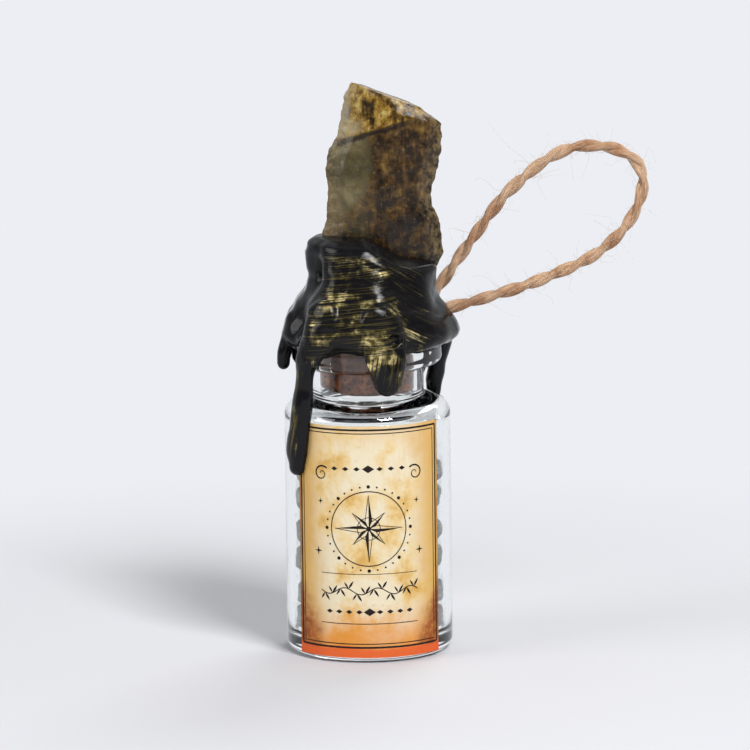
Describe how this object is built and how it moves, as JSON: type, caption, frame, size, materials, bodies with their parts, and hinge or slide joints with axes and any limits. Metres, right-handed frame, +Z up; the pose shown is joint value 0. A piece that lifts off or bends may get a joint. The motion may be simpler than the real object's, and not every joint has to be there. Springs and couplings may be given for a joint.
{
  "type": "corked glass vial with wax seal, crystal slab and twine loop",
  "caption": "Small glass vial of stone chips, corked and sealed with dripping black wax that holds a raw crystal slab and a twine hanging loop.",
  "frame": {"origin": "centre of the circle that the vial stands on", "axes": "+Z up along the vial's axis, -Y towards the label, +X towards the twine loop"},
  "size_m": [0.0495, 0.0234, 0.0758],
  "materials": {
    "glass": "gloss",
    "cork": "rough",
    "wax": "gloss",
    "crystal": "gloss",
    "twine": "rough",
    "paper": "matte",
    "stone": "rough"
  },
  "bodies": {
    "root": {"glass_vial": "glass", "cork_stopper": "cork", "paper_label": "paper", "wax_seal": "wax", "crystal_slab": "crystal", "twine_loop": "twine", "stone_chips_1": "stone", "stone_chips_2": "stone", "stone_chips_3": "stone", "stone_chips_4": "stone", "stone_chips_5": "stone", "stone_chips_6": "stone"}
  },
  "joints": []
}
